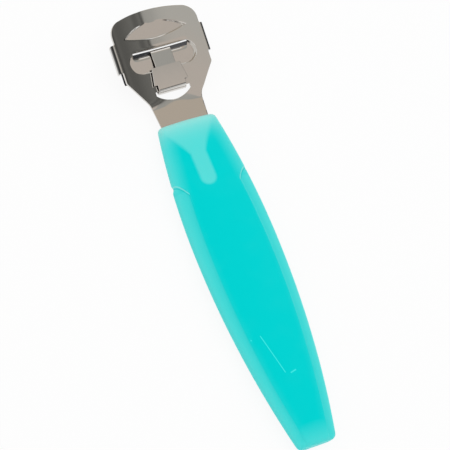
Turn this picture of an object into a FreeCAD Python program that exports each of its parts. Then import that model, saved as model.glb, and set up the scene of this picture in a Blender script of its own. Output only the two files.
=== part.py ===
import FreeCAD, Part
import math
import os

Vector = FreeCAD.Vector

# All sizes in millimetres, angles in degrees.
# While it is built, the tool lies on its back: X across, Y from the handle's end to the head,
# Z up out of the user's side, with Y = 0 at the handle's end and Z = 0 at the handle's flat back.

# Handle, a single plastic moulding
handle_length = 123.6
handle_half_width = 15.5
widest_from_end = 75.0
upper_side_radius = 273.0
lower_side_radius = 345.0
crown_height = 8.8
crown_from_end = 70.0
crown_radius = 1400.0
crown_across_radius = 48.0
back_edge_round = 3.2
front_edge_round = 3.0
end_round = 2.0

# Grip bands let into both edges of the user's side
band_end_from_end = 96.4
band_arch_rise = 4.4
band_width = 4.8
band_width_at_end = 3.5
band_drop = 0.45
band_proud = 0.2
band_overhang = 1.3
notch_radius = 1.3
notch_depth = 0.5

# Sheet metal of the head, neck and tang
sheet = 0.7
neck_height = 4.3
neck_length = 9.4
neck_half_width = 9.05
neck_root_half_width = 9.6
tang_length = 24.4
tang_half_width = 3.1
funnel_length = 13.0
funnel_start = 0.6
funnel_flare = 0.5
head_tilt = 12.3
bend_length = 4.0

# Curved head
head_radius = 46.0
head_length = 33.6
head_half_width = 16.3
shoulder_from_bend = 9.3
head_corner_round = 6.0
head_top_radius = 36.0
hip_half_width = 10.0
neck_fillet = 5.0

# Lens-shaped flat pressing
lens_from_bend = 24.7
lens_half_length = 12.2
lens_rise = 4.5
lens_drop = 1.9
pressing_depth = 0.25
pressing_wall = 0.55

# Oblong louvre with the shaving mouth along its top
louvre_from_bend = 15.4
louvre_half_length = 12.9
louvre_half_height = 4.2
mouth_half_length = 10.4
mouth_height = 2.4

# D-shaped hole that the spring clip passes through
hole_top_from_bend = 3.9
hole_half_width = 6.5
hole_drop = 3.9
hole_side = 1.4

# Lugs that hold the blade's ends
lug_from_bend = 13.3
lug_length = 10.4
lug_reach = 1.3
lug_bend = 0.5
claw_length = 2.2

# Blade
blade_radius = 70.0
blade_thickness = 0.3
blade_width = 10.0
blade_bevel = 0.9
blade_end_clearance = 0.7
blade_seat_clearance = 0.05
edge_below_lip = 0.4

# Spring clip
clip_sheet = 0.5
clip_height = 1.0
clip_fold_from_bend = 5.2
clip_pad_step = 0.8
clip_pad_end = 12.4
clip_pad_half_width = 6.5
clip_pad_top_half_width = 5.45
clip_neck_half_width = 3.8
clip_fold_half_width = 5.2
clip_neck_drop = 0.5
clip_hook_gap = 0.7
clip_hook_bend = 1.4
clip_hook_inner_bend = 0.9
clip_hook_depth = 1.1
clip_back_half_width = 4.0
clip_back_end = 15.5
clip_seat_clearance = 0.05

# Where a grip band's arch passes between its ends, the places that its inner edge is drawn through,
# and how far the funnel holds its direction at each end
ARCH_X_SHARE = 0.3
ARCH_Y_SHARE = 0.75
BAND_SPANS = 3
FUNNEL_HOLD = 0.43

# A length that reaches past everything, and how near counts as the same place
FAR = 60.0
NEAR = 0.01


def line(start, end):
    return Part.LineSegment(start, end).toShape()


def arc(start, middle, end):
    return Part.Arc(start, middle, end).toShape()


def polygon_prism(points, direction):
    """A solid pushed along a direction from a closed outline of straight sides."""
    return Part.Face(Part.makePolygon(points + [points[0]])).extrude(direction)


def mirrored(shape):
    return shape.mirror(Vector(0, 0, 0), Vector(1, 0, 0))


def mirrored_point(point):
    return Vector(-point.x, point.y, point.z)


# Handle

def half_width(y):
    """Half the handle's width: each side is two long round arcs that meet at the widest place."""
    radius = upper_side_radius if y > widest_from_end else lower_side_radius
    return handle_half_width - radius + math.sqrt(radius ** 2 - (y - widest_from_end) ** 2)


def plan_prism(proud):
    """The handle's outline seen from the front, two long arcs on each side, pushed up from the flat back."""
    def at(y):
        return Vector(half_width(y) + proud, y, 0)

    right = [
        arc(at(0), at(widest_from_end / 2), at(widest_from_end)),
        arc(at(widest_from_end), at((widest_from_end + handle_length) / 2), at(handle_length)),
    ]
    left = [mirrored(edge) for edge in right]
    low_end = line(mirrored_point(at(0)), at(0))
    high_end = line(at(handle_length), mirrored_point(at(handle_length)))
    face = Part.Face(Part.Wire(Part.__sortEdges__(right + left + [low_end, high_end])))
    return face.extrude(Vector(0, 0, 2 * crown_height))


def under_crown(top):
    """All that lies under the crown, which is round across the handle and, more gently, along it."""
    reach = math.sqrt(crown_across_radius ** 2 - (crown_across_radius - crown_height) ** 2)
    left = Vector(-reach, crown_from_end, top - crown_height)
    right = Vector(reach, crown_from_end, top - crown_height)
    section = Part.Wire([
        arc(left, Vector(0, crown_from_end, top), right),
        line(right, Vector(reach, crown_from_end, -FAR)),
        line(Vector(reach, crown_from_end, -FAR), Vector(-reach, crown_from_end, -FAR)),
        line(Vector(-reach, crown_from_end, -FAR), left),
    ])
    face = Part.Face(section)
    axis = Vector(0, crown_from_end, top - crown_radius)
    half_turn = math.degrees(math.asin(handle_length / crown_radius))
    face.rotate(axis, Vector(1, 0, 0), -half_turn)
    return face.revolve(axis, Vector(1, 0, 0), 2 * half_turn)


def end_edges(shape, y):
    return [e for e in shape.Edges if abs(e.BoundBox.YMin - y) < NEAR and abs(e.BoundBox.YMax - y) < NEAR]


def moulding(proud, drop):
    """A bar of the handle's outline with a crowned front, its long edges and then its ends rounded."""
    bar = plan_prism(proud).common(under_crown(crown_height - drop)).removeSplitter()
    long_edges = [e for e in bar.Edges if e.BoundBox.YLength > end_round]
    bar = bar.makeFillet(back_edge_round, [e for e in long_edges if e.BoundBox.ZMax < NEAR])
    long_edges = [e for e in bar.Edges if e.BoundBox.YLength > end_round]
    bar = bar.makeFillet(front_edge_round, [e for e in long_edges if e.BoundBox.ZMin > crown_height / 2])
    return bar.makeFillet(end_round, end_edges(bar, 0) + end_edges(bar, handle_length))


def band_width_at(y):
    return band_width_at_end + (band_width - band_width_at_end) * y / band_end_from_end


def stations(length, count):
    return [length * i / count for i in range(count + 1)]


def band_region():
    """The ground that one grip band takes up, seen from the front: arched at its head end."""
    y_values = [-end_round] + stations(band_end_from_end, BAND_SPANS)[1:]
    inner = [Vector(half_width(y) - band_width_at(y), y, 0) for y in y_values]
    curve = Part.BSplineCurve()
    curve.interpolate(inner)
    arch_end = band_end_from_end + band_arch_rise
    outer = half_width(arch_end) + band_overhang
    across = outer - inner[-1].x
    middle = Vector(inner[-1].x + ARCH_X_SHARE * across, band_end_from_end + ARCH_Y_SHARE * band_arch_rise, 0)
    edges = [
        curve.toShape(),
        arc(inner[-1], middle, Vector(outer, arch_end, 0)),
        line(Vector(outer, arch_end, 0), Vector(FAR, arch_end, 0)),
        line(Vector(FAR, arch_end, 0), Vector(FAR, inner[0].y, 0)),
        line(Vector(FAR, inner[0].y, 0), inner[0]),
    ]
    ground = Part.Face(Part.Wire(edges))
    ground.translate(Vector(0, 0, -1))
    return ground.extrude(Vector(0, 0, 2 * crown_height))


def edge_notch():
    """Small notch in the edge where a grip band begins."""
    y = band_end_from_end + band_arch_rise
    x = half_width(y) + notch_radius - notch_depth
    return Part.makeCylinder(notch_radius, 3 * crown_height, Vector(x, y, -crown_height))


def handle_blank():
    body = moulding(0, 0)
    bands = moulding(band_proud, band_drop)
    for region in (band_region(), mirrored(band_region())):
        body = body.cut(region).fuse(bands.common(region))
    for notch in (edge_notch(), mirrored(edge_notch())):
        body = body.cut(notch)
    return body.removeSplitter()


# Sheet metal head, built in the head's own frame: X across, Y along the head from the bend,
# Z out of the sheet's front face at the middle line.

def in_head_frame(shape):
    """Turn a shape from the head's frame to its place on the neck."""
    moved = shape.copy()
    moved.rotate(Vector(0, 0, 0), Vector(1, 0, 0), head_tilt)
    moved.translate(Vector(0, handle_length + neck_length, neck_height))
    return moved


def round_bar(radius, centre_height, start, end):
    return Part.makeCylinder(radius, end - start, Vector(0, start, centre_height), Vector(0, 1, 0))


def hollow_of_head():
    """The round space in front of the head's concave face."""
    return round_bar(head_radius, head_radius, -FAR, FAR)


def head_outline():
    """Spade outline of the head, from the bend to the arched top, pushed through the sheet."""
    drop = head_half_width ** 2 / (2 * head_top_radius)
    root = Vector(neck_root_half_width, -bend_length, 0)
    hip = Vector(hip_half_width, 0, 0)
    shoulder = Vector(head_half_width, shoulder_from_bend, 0)
    corner = Vector(head_half_width, head_length - drop, 0)
    right = [root, hip, shoulder, corner]
    left = [Vector(-p.x, p.y, 0) for p in reversed(right)]
    edges = [line(a, b) for a, b in zip(right, right[1:])]
    edges.append(arc(corner, Vector(0, head_length, 0), left[0]))
    edges += [line(a, b) for a, b in zip(left, left[1:])]
    edges.append(line(left[-1], root))
    face = Part.Face(Part.Wire(edges))
    face.translate(Vector(0, 0, -FAR / 2))
    prism = face.extrude(Vector(0, 0, FAR))

    def upright(x, y):
        return [e for e in prism.Edges if abs(e.BoundBox.XMin - x) < NEAR and abs(e.BoundBox.XMax - x) < NEAR
                and abs(e.BoundBox.YMin - y) < NEAR and abs(e.BoundBox.YMax - y) < NEAR]

    corners = upright(corner.x, corner.y) + upright(-corner.x, corner.y)
    hips = upright(hip.x, 0) + upright(-hip.x, 0)
    return prism.makeFillet(head_corner_round, corners).makeFillet(neck_fillet, hips)


def bend_section(share):
    """Section of the sheet part of the way round the bend, from flat to the head's full curve."""
    half = head_half_width
    turn = math.radians(head_tilt) * share
    path_radius = bend_length / math.radians(head_tilt)
    start = handle_length + neck_length - path_radius * math.tan(math.radians(head_tilt) / 2)
    centre = Vector(0, start + path_radius * math.sin(turn), neck_height + path_radius * (1 - math.cos(turn)))
    out = Vector(0, -math.sin(turn), math.cos(turn))

    def at(x, height):
        return centre + out * height + Vector(x, 0, 0)

    if share == 0:
        rise = 0
        back_rise = -sheet
        front = line(at(-half, rise), at(half, rise))
        back = line(at(half, back_rise), at(-half, back_rise))
    else:
        radius = head_radius / share
        rise = radius - math.sqrt(radius ** 2 - half ** 2)
        back_rise = radius - math.sqrt((radius + sheet) ** 2 - half ** 2)
        front = arc(at(-half, rise), at(0, 0), at(half, rise))
        back = arc(at(half, back_rise), at(0, -sheet), at(-half, back_rise))
    right_side = line(at(half, rise), at(half, back_rise))
    left_side = line(at(-half, back_rise), at(-half, rise))
    return Part.Wire([front, right_side, back, left_side])


def curved_sheet():
    """The bend and the curved head, cut to the spade outline."""
    start = bend_length / math.radians(head_tilt) * math.tan(math.radians(head_tilt) / 2)
    shell = round_bar(head_radius + sheet, head_radius, start, 2 * head_length)
    shell = shell.cut(hollow_of_head())
    outline = head_outline()
    shell = in_head_frame(shell.common(outline))
    bend = Part.makeLoft([bend_section(i / 3) for i in range(4)], True, False)
    bend = bend.common(in_head_frame(outline))
    return shell.fuse(bend)


def lens_edge(grow):
    tip = lens_half_length + 2 * grow
    left = Vector(-tip, lens_from_bend, 0)
    right = Vector(tip, lens_from_bend, 0)
    upper = arc(right, Vector(0, lens_from_bend + lens_rise + grow, 0), left)
    lower = arc(left, Vector(0, lens_from_bend - lens_drop - grow, 0), right)
    return Part.Wire([upper, lower])


def oblong_edge(grow):
    high = louvre_half_height + grow
    straight = louvre_half_length - louvre_half_height
    top = louvre_from_bend + high
    bottom = louvre_from_bend - high
    end = straight + high
    return Part.Wire([
        line(Vector(-straight, bottom, 0), Vector(straight, bottom, 0)),
        arc(Vector(straight, bottom, 0), Vector(end, louvre_from_bend, 0), Vector(straight, top, 0)),
        line(Vector(straight, top, 0), Vector(-straight, top, 0)),
        arc(Vector(-straight, top, 0), Vector(-end, louvre_from_bend, 0), Vector(-straight, bottom, 0)),
    ])


def push(edge_wire, low, high):
    face = Part.Face(edge_wire)
    face.translate(Vector(0, 0, low))
    return face.extrude(Vector(0, 0, high - low))


def pressing(edge):
    """Metal and hollow of a flat-bottomed pressing let into the concave face."""
    metal = push(edge(pressing_wall), -pressing_depth - sheet, head_radius / 2).cut(hollow_of_head())
    hollow = push(edge(0), -pressing_depth, head_radius / 2)
    return metal, hollow


def mouth_top():
    return louvre_from_bend + louvre_half_height


def mouth_opening():
    """The slot above the louvre's floor, and the room behind the plate's upper lip."""
    low = mouth_top() - mouth_height
    depth = Vector(0, 0, -FAR / 4)
    size = (2 * mouth_half_length, mouth_height, FAR / 2)
    corner = Vector(-mouth_half_length, low, depth.z)
    behind = Part.makeBox(size[0], mouth_height + 2 * pressing_wall, size[2], corner)
    slot = Part.makeBox(*size, corner)
    behind = behind.cut(round_bar(head_radius + sheet, head_radius, -FAR, FAR))
    return slot.fuse(behind)


def d_hole():
    left = Vector(-hole_half_width, hole_top_from_bend, 0)
    right = Vector(hole_half_width, hole_top_from_bend, 0)
    shoulder = hole_top_from_bend - hole_side
    low_left = Vector(-hole_half_width, shoulder, 0)
    low_right = Vector(hole_half_width, shoulder, 0)
    bottom = Vector(0, hole_top_from_bend - hole_drop, 0)
    edge = Part.Wire([
        line(left, right),
        line(right, low_right),
        arc(low_right, bottom, low_left),
        line(low_left, left),
    ])
    return push(edge, -FAR / 4, FAR / 4)


def edge_height():
    """Height of the sheet's front face at the head's side edge."""
    return head_radius - math.sqrt(head_radius ** 2 - head_half_width ** 2)


def blade_front_height():
    """Height of the blade's front face at the middle: it rests on the outer ends of the louvre."""
    reach = louvre_half_length + pressing_wall
    rise = blade_radius - math.sqrt(blade_radius ** 2 - reach ** 2)
    return -pressing_depth - sheet - blade_seat_clearance - rise


def blade_half_length():
    return head_half_width + lug_reach - sheet - blade_end_clearance


def claw_height():
    """Height of the lug's inner claw face, just behind the blade's end."""
    reach = blade_half_length() - claw_length
    rise = blade_radius + blade_thickness - math.sqrt((blade_radius + blade_thickness) ** 2 - reach ** 2)
    return blade_front_height() - blade_thickness + rise - blade_seat_clearance


def lug():
    """One side lug: out from the plate's edge, back, and in behind the blade's end."""
    outer_x = head_half_width + lug_reach
    high = edge_height()
    low = claw_height() - sheet
    inner_start = outer_x - sheet - claw_length
    corner = Vector(inner_start, lug_from_bend, low)
    block = Part.makeBox(outer_x - inner_start, lug_length, high - low, corner)
    rounded = [e for e in block.Edges if e.BoundBox.XMin > outer_x - NEAR and e.BoundBox.YLength > 1]
    block = block.makeFillet(lug_bend + sheet, rounded)
    room = Part.makeBox(claw_length + FAR, lug_length, high - low - 2 * sheet,
                        Vector(inner_start - FAR, lug_from_bend, low + sheet))
    rounded = [e for e in room.Edges if e.BoundBox.XMin > outer_x - sheet - NEAR and e.BoundBox.YLength > 1]
    room = room.makeFillet(lug_bend, rounded)
    return block.cut(room).cut(hollow_of_head())


def tang_outline():
    """Neck between head and handle, then the funnel and the round-ended strip in the plastic."""
    neck_end = handle_length + neck_length - bend_length / 2
    strip_top = handle_length - funnel_length
    strip_end = handle_length - tang_length + tang_half_width
    funnel_top = handle_length - funnel_start
    right = [
        line(Vector(neck_root_half_width, neck_end, 0), Vector(neck_half_width, funnel_top, 0)),
    ]
    curve = Part.BezierCurve()
    curve.setPoles([
        Vector(neck_half_width, funnel_top, 0),
        Vector(neck_half_width - funnel_flare, funnel_top - FUNNEL_HOLD * funnel_length, 0),
        Vector(tang_half_width, strip_top + FUNNEL_HOLD * funnel_length, 0),
        Vector(tang_half_width, strip_top, 0),
    ])
    right.append(curve.toShape())
    right.append(line(Vector(tang_half_width, strip_top, 0), Vector(tang_half_width, strip_end, 0)))
    left = [mirrored(edge) for edge in reversed(right)]
    tip = arc(Vector(tang_half_width, strip_end, 0), Vector(0, strip_end - tang_half_width, 0),
              Vector(-tang_half_width, strip_end, 0))
    top = line(Vector(-neck_root_half_width, neck_end, 0), Vector(neck_root_half_width, neck_end, 0))
    return Part.Wire(Part.__sortEdges__(right + [tip] + left + [top]))


def tang():
    return push(tang_outline(), neck_height - sheet, neck_height)


def head_plate():
    plate = curved_sheet()
    for edge in (lens_edge, oblong_edge):
        metal, hollow = pressing(edge)
        plate = plate.fuse(in_head_frame(metal)).cut(in_head_frame(hollow))
    plate = plate.cut(in_head_frame(mouth_opening())).cut(in_head_frame(d_hole()))
    for side in (lug(), mirrored(lug())):
        plate = plate.fuse(in_head_frame(side))
    return plate.fuse(tang()).removeSplitter()


# Blade

def blade():
    """Thin strip, ground on both long edges and sprung to a curve, its edge at the mouth."""
    high = mouth_top() - edge_below_lip
    low = high - blade_width
    axis_height = blade_front_height() + blade_radius
    front = -blade_radius
    back = front - blade_thickness
    profile = [
        Vector(0, low, front),
        Vector(0, high, front),
        Vector(0, high - blade_bevel, back),
        Vector(0, low + blade_bevel, back),
    ]
    face = Part.Face(Part.makePolygon(profile + [profile[0]]))
    half_turn = math.degrees(math.asin(blade_half_length() / blade_radius))
    face.rotate(Vector(0, 0, 0), Vector(0, 1, 0), -half_turn)
    strip = face.revolve(Vector(0, 0, 0), Vector(0, 1, 0), 2 * half_turn)
    strip.translate(Vector(0, 0, axis_height))
    return in_head_frame(strip)


# Spring clip

def clip_back_height():
    """Height of the back leg's front face, just behind the middle of the blade."""
    return blade_front_height() - blade_thickness - clip_seat_clearance


def clip_side_profile():
    """Side view of the leg on the user's side: flat pad, falling neck and the hook into the mouth."""
    low = clip_height
    high = low + clip_sheet
    end = mouth_top() - clip_hook_gap
    turn = math.sqrt(0.5)
    outer = clip_hook_bend
    inner = clip_hook_inner_bend
    outer_centre = Vector(0, end - outer, high - clip_neck_drop - outer)
    inner_centre = Vector(0, end - clip_sheet - inner, low - clip_neck_drop - inner)
    start_top = Vector(0, clip_fold_from_bend, high)
    knee_top = Vector(0, clip_pad_end, high)
    crest = outer_centre + Vector(0, 0, outer)
    over = outer_centre + Vector(0, outer * turn, outer * turn)
    down = outer_centre + Vector(0, outer, 0)
    tip = Vector(0, end, -clip_hook_depth)
    tip_inside = Vector(0, end - clip_sheet, -clip_hook_depth)
    up = inner_centre + Vector(0, inner, 0)
    under = inner_centre + Vector(0, inner * turn, inner * turn)
    back = inner_centre + Vector(0, 0, inner)
    knee_low = Vector(0, clip_pad_end, low)
    start_low = Vector(0, clip_fold_from_bend, low)
    return Part.Wire([
        line(start_top, knee_top),
        line(knee_top, crest),
        arc(crest, over, down),
        line(down, tip),
        line(tip, tip_inside),
        line(tip_inside, up),
        arc(up, under, back),
        line(back, knee_low),
        line(knee_low, start_low),
        line(start_low, start_top),
    ])


def clip_front_outline():
    """Front view of the same leg: a pad that narrows upwards, then the narrow neck."""
    pad_start = clip_fold_from_bend + clip_pad_step
    right = [
        Vector(clip_fold_half_width, clip_fold_from_bend, 0),
        Vector(clip_fold_half_width, pad_start, 0),
        Vector(clip_pad_half_width, pad_start, 0),
        Vector(clip_pad_top_half_width, clip_pad_end, 0),
        Vector(clip_neck_half_width, clip_pad_end, 0),
        Vector(clip_neck_half_width, mouth_top(), 0),
    ]
    left = [Vector(-point.x, point.y, 0) for point in reversed(right)]
    outline = polygon_prism(right + left, Vector(0, 0, FAR))
    outline.translate(Vector(0, 0, -FAR / 2))
    return outline


def clip_front_leg():
    """Pad and narrow neck on the user's side, hooked back into the mouth."""
    face = Part.Face(clip_side_profile())
    face.translate(Vector(-clip_pad_half_width, 0, 0))
    strip = face.extrude(Vector(2 * clip_pad_half_width, 0, 0))
    return strip.common(clip_front_outline())


def clip_fold():
    """The round fold that carries the clip through the D-shaped hole."""
    top = clip_height + clip_sheet
    bottom = clip_back_height() - clip_sheet
    radius = (top - bottom) / 2
    centre = Vector(-clip_fold_half_width, clip_fold_from_bend, (top + bottom) / 2)
    width = 2 * clip_fold_half_width
    across = Vector(1, 0, 0)
    ring = Part.makeCylinder(radius, width, centre, across)
    ring = ring.cut(Part.makeCylinder(radius - clip_sheet, width, centre, across))
    keep = Part.makeBox(width, 2 * radius, 2 * radius, centre - Vector(0, 2 * radius, radius))
    return ring.common(keep)


def clip_back_leg():
    """The leg that lies behind the blade and holds its middle."""
    low = clip_back_height() - clip_sheet
    length = clip_back_end - clip_fold_from_bend
    leg = Part.makeBox(2 * clip_back_half_width, length, clip_sheet,
                       Vector(-clip_back_half_width, clip_fold_from_bend, low))
    upright = [e for e in leg.Edges if e.BoundBox.ZLength > clip_sheet / 2]
    tip_corners = [e for e in upright if e.BoundBox.YMin > clip_back_end - NEAR]
    return leg.makeFillet(clip_back_half_width / 2, tip_corners)


def spring_clip():
    clip = clip_front_leg().fuse(clip_fold()).fuse(clip_back_leg()).removeSplitter()
    return in_head_frame(clip)


def build():
    plate = head_plate()
    return {
        "head_plate": plate,
        "blade": blade(),
        "spring_clip": spring_clip(),
        "handle": handle_blank().cut(tang()),
    }


def centred(parts):
    """Put the origin under the middle of the whole tool, at the height of its back."""
    boxes = [shape.optimalBoundingBox() for shape in parts.values()]
    middle = (min(b.YMin for b in boxes) + max(b.YMax for b in boxes)) / 2
    low = min(b.ZMin for b in boxes)
    for shape in parts.values():
        shape.translate(Vector(0, -middle, -low))
    return parts


os.makedirs("parts", exist_ok=True)
for name, shape in centred(build()).items():
    print(name, shape.isValid(), len(shape.Solids), round(shape.Volume, 2), shape.BoundBox)
    shape.exportStep("parts/" + name + ".step")
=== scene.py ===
"""Callus shaver: the finishes, the pressed head and the moulded handle, with a plain studio round them."""

import math

import bpy
from mathutils import Matrix, Vector


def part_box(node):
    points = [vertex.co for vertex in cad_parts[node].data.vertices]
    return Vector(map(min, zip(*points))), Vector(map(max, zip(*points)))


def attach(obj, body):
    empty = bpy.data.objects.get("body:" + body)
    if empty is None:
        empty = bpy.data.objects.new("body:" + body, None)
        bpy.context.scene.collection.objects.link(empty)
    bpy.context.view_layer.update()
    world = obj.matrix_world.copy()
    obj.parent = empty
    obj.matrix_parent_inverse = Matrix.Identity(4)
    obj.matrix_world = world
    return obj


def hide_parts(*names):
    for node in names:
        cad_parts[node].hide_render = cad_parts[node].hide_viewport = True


bl_info = {
    "name": "Callus Shaver",
    "version": (1, 0, 0),
    "blender": (4, 5, 0),
    "location": "3D View > Sidebar > Shaver",
    "description": "Dresses a callus shaver and sets it on a pale studio floor",
    "category": "Add Mesh",
}

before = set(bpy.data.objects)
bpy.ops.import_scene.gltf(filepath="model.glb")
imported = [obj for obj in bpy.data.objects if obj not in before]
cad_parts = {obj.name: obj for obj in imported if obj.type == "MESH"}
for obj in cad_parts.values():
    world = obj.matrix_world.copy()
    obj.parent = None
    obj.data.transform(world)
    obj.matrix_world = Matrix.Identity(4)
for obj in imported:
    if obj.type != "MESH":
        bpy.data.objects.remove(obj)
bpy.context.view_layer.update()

MM = 0.001


# Sizes and colours that a user would change

class StudioSettings(bpy.types.PropertyGroup):
    view_turn: bpy.props.FloatProperty(
        name="View turn", description="How far the camera looks from the tool's left side",
        default=math.radians(19.083), subtype="ANGLE")
    view_lean: bpy.props.FloatProperty(
        name="View lean", description="How far the camera looks from the handle's end",
        default=math.radians(14.977), subtype="ANGLE")
    view_roll: bpy.props.FloatProperty(
        name="View roll", description="Turn of the picture about the line of sight",
        default=math.radians(22.27), subtype="ANGLE")
    view_distance: bpy.props.FloatProperty(
        name="View distance", description="Camera to the middle of the tool",
        default=0.69236, unit="LENGTH")
    lens: bpy.props.FloatProperty(
        name="Lens", description="Focal length of the camera on a 36 mm wide picture", default=158.08)
    aim: bpy.props.FloatVectorProperty(
        name="Aim", description="Point on the floor that the camera looks at",
        default=(0.00064, 0.00135, 0.0), size=3, subtype="TRANSLATION", unit="LENGTH")
    floor_size: bpy.props.FloatProperty(
        name="Floor size", description="Width of the floor", default=4.0, unit="LENGTH")
    floor_tone: bpy.props.FloatVectorProperty(
        name="Floor tone", description="Colour of the floor", default=(0.88, 0.88, 0.88),
        size=3, subtype="COLOR")
    floor_glow: bpy.props.FloatProperty(
        name="Floor glow",
        description="How much of the floor's plain white the camera sees through its shadows",
        default=0.90, min=0.0, max=1.0, subtype="FACTOR")
    dome_tone: bpy.props.FloatVectorProperty(
        name="Dome tone", description="Colour of the soft light from all round", default=(0.86, 0.86, 0.86),
        size=3, subtype="COLOR")
    bright_tone: bpy.props.FloatVectorProperty(
        name="Ceiling tone", description="Colour of the ceiling that the flat steel mirrors",
        default=(0.60, 0.546, 0.50), size=3, subtype="COLOR")
    warm_tone: bpy.props.FloatVectorProperty(
        name="Far ceiling tone",
        description="Colour of the ceiling beyond the head, which the neck mirrors",
        default=(0.567, 0.503, 0.429), size=3, subtype="COLOR")
    key_power: bpy.props.FloatProperty(
        name="Key power", description="Power of the large soft lamp in watts", default=1.6)
    key_size: bpy.props.FloatProperty(
        name="Key size", description="Width of the large soft lamp", default=0.9, unit="LENGTH")


class SteelSettings(bpy.types.PropertyGroup):
    plate_tone: bpy.props.FloatVectorProperty(
        name="Plate tone", description="Colour of the polished head", default=(0.70, 0.68, 0.65),
        size=3, subtype="COLOR")
    clip_tone: bpy.props.FloatVectorProperty(
        name="Clip tone", description="Colour of the spring clip", default=(0.72, 0.70, 0.67),
        size=3, subtype="COLOR")
    # The blade tone is far darker than steel: painted shade for the dark band seen in the mouth.
    shaded_blade_tone: bpy.props.FloatVectorProperty(
        name="Blade tone", description="Colour of the ground blade", default=(0.16, 0.17, 0.19),
        size=3, subtype="COLOR")


class HandleSettings(bpy.types.PropertyGroup):
    core_tone: bpy.props.FloatVectorProperty(
        name="Core tone", description="Colour of the plastic where it is thick", default=(0.0, 0.67, 0.665),
        size=3, subtype="COLOR")
    # The pale tone is the thin plastic's colour with painted light that comes through it.
    pale_tone: bpy.props.FloatVectorProperty(
        name="Pale tone", description="Colour of the plastic where it is thin", default=(0.17, 0.80, 0.76),
        size=3, subtype="COLOR")
    end_tone: bpy.props.FloatVectorProperty(
        name="End tone", description="Colour of the plastic at its head end, where light comes through",
        default=(0.42, 0.80, 0.75), size=3, subtype="COLOR")
    # The glint tone is a painted highlight on the faint marks.
    mark_glint_tone: bpy.props.FloatVectorProperty(
        name="Scratch tone", description="Colour of the faint scratches", default=(0.10, 0.98, 0.92),
        size=3, subtype="COLOR")
    skin_grain: bpy.props.FloatProperty(
        name="Skin grain", description="Size of the moulded skin's fine grain", default=0.0004,
        unit="LENGTH")


# Shader maths

class Flow:
    """An output of a shader node. Arithmetic on it adds the nodes that work it out."""

    def __init__(self, paint, socket):
        self.paint = paint
        self.socket = socket

    def maths(self, operation, *values):
        inputs = dict(enumerate(values))
        return self.paint.out("ShaderNodeMath", {"operation": operation}, inputs)

    def __add__(self, other):
        return self.maths("ADD", self, other)

    def __sub__(self, other):
        return self.maths("SUBTRACT", self, other)

    def __mul__(self, other):
        return self.maths("MULTIPLY", self, other)

    def __truediv__(self, other):
        return self.maths("DIVIDE", self, other)

    def __rsub__(self, other):
        return self.maths("SUBTRACT", other, self)

    def __abs__(self):
        return self.maths("ABSOLUTE", self)

    def __pow__(self, other):
        return self.maths("POWER", self, other)

    __radd__ = __add__
    __rmul__ = __mul__

    def least(self, other):
        return self.maths("MINIMUM", self, other)

    def most(self, other):
        return self.maths("MAXIMUM", self, other)

    def step(self, low, high):
        """0 below low, 1 above high, and an even rise between them."""
        inputs = {"Value": self, "From Min": low, "From Max": high}
        return self.paint.out("ShaderNodeMapRange", {"interpolation_type": "SMOOTHSTEP"}, inputs)

    def stretch(self, rise, fall):
        """1 between two soft edges, each given as where it starts and ends, and 0 outside them."""
        return self.step(*rise) * (1 - self.step(*fall))


class Paint:
    """The nodes of one finish, or of the room."""

    def __init__(self, tree):
        self.tree = tree
        tree.nodes.clear()

    def node(self, kind, settings=None, inputs=None):
        made = self.tree.nodes.new(kind)
        for name, value in (settings or {}).items():
            setattr(made, name, value)
        for name, value in (inputs or {}).items():
            if isinstance(value, Flow):
                self.tree.links.new(value.socket, made.inputs[name])
            else:
                made.inputs[name].default_value = value
        return made

    def out(self, kind, settings=None, inputs=None, output=0):
        return Flow(self, self.node(kind, settings, inputs).outputs[output])

    def point(self):
        """The point on the object."""
        return self.out("ShaderNodeTexCoord", output="Object")

    def split(self, vector):
        """A vector's parts across, along and up."""
        parts = self.node("ShaderNodeSeparateXYZ", inputs={"Vector": vector})
        return [Flow(self, parts.outputs[axis]) for axis in "XYZ"]

    def colour_mix(self, amount, first, second):
        inputs = {0: amount, 6: first, 7: second}
        return self.out("ShaderNodeMix", {"data_type": "RGBA"}, inputs, output=2)

    def noise(self, point, size, detail=2.0, roughness=0.5):
        inputs = {"Vector": point, "Scale": 1 / size, "Detail": detail, "Roughness": roughness}
        return self.out("ShaderNodeTexNoise", {}, inputs)


WHITE = (1.0, 1.0, 1.0, 1.0)


def rgba(tone):
    return (tone[0], tone[1], tone[2], 1.0)


def shaded(tone, share):
    return rgba([part * share for part in tone])


def finish(name, recipe, *values):
    """A new material made by a recipe, which returns the inputs of its Principled shader."""
    material = bpy.data.materials.new(name)
    material.use_nodes = True
    paint = Paint(material.node_tree)
    shader = paint.out("ShaderNodeBsdfPrincipled", {}, recipe(paint, *values))
    paint.node("ShaderNodeOutputMaterial", {}, {"Surface": shader})
    return material


# Steel: sizes are in millimetres, and tints and shades are shares of the finish's own tone.

# Lug walls: painted shade, a dark tone where the lugs turn down beside the blade.
LUG_DARK_FROM = 16.95
LUG_DARK_LOW = 0.95
LUG_SIDE_BLUR = 0.15
LUG_FOOT_BLUR = 0.1
LUG_DARK_SHADE = 0.05
POLISH = 0.05
HAZE_SIZE = 3.0
HAZE_TINT = 0.10
HAZE_SHADE = 0.86
HAZE_ROUGHNESS = 0.05
POLISH_LINE = 0.12
POLISH_LINE_PULL = (1.0, 0.08, 1.0)
POLISH_LINE_ROUGHNESS = 0.02
GRIND = 0.18
GRIND_LINE = 0.08
GRIND_LINE_PULL = (0.05, 1.0, 1.0)
GRIND_TINT = 0.3
GRIND_SHADE = 0.8
GRIND_ROUGHNESS = 0.15


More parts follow.
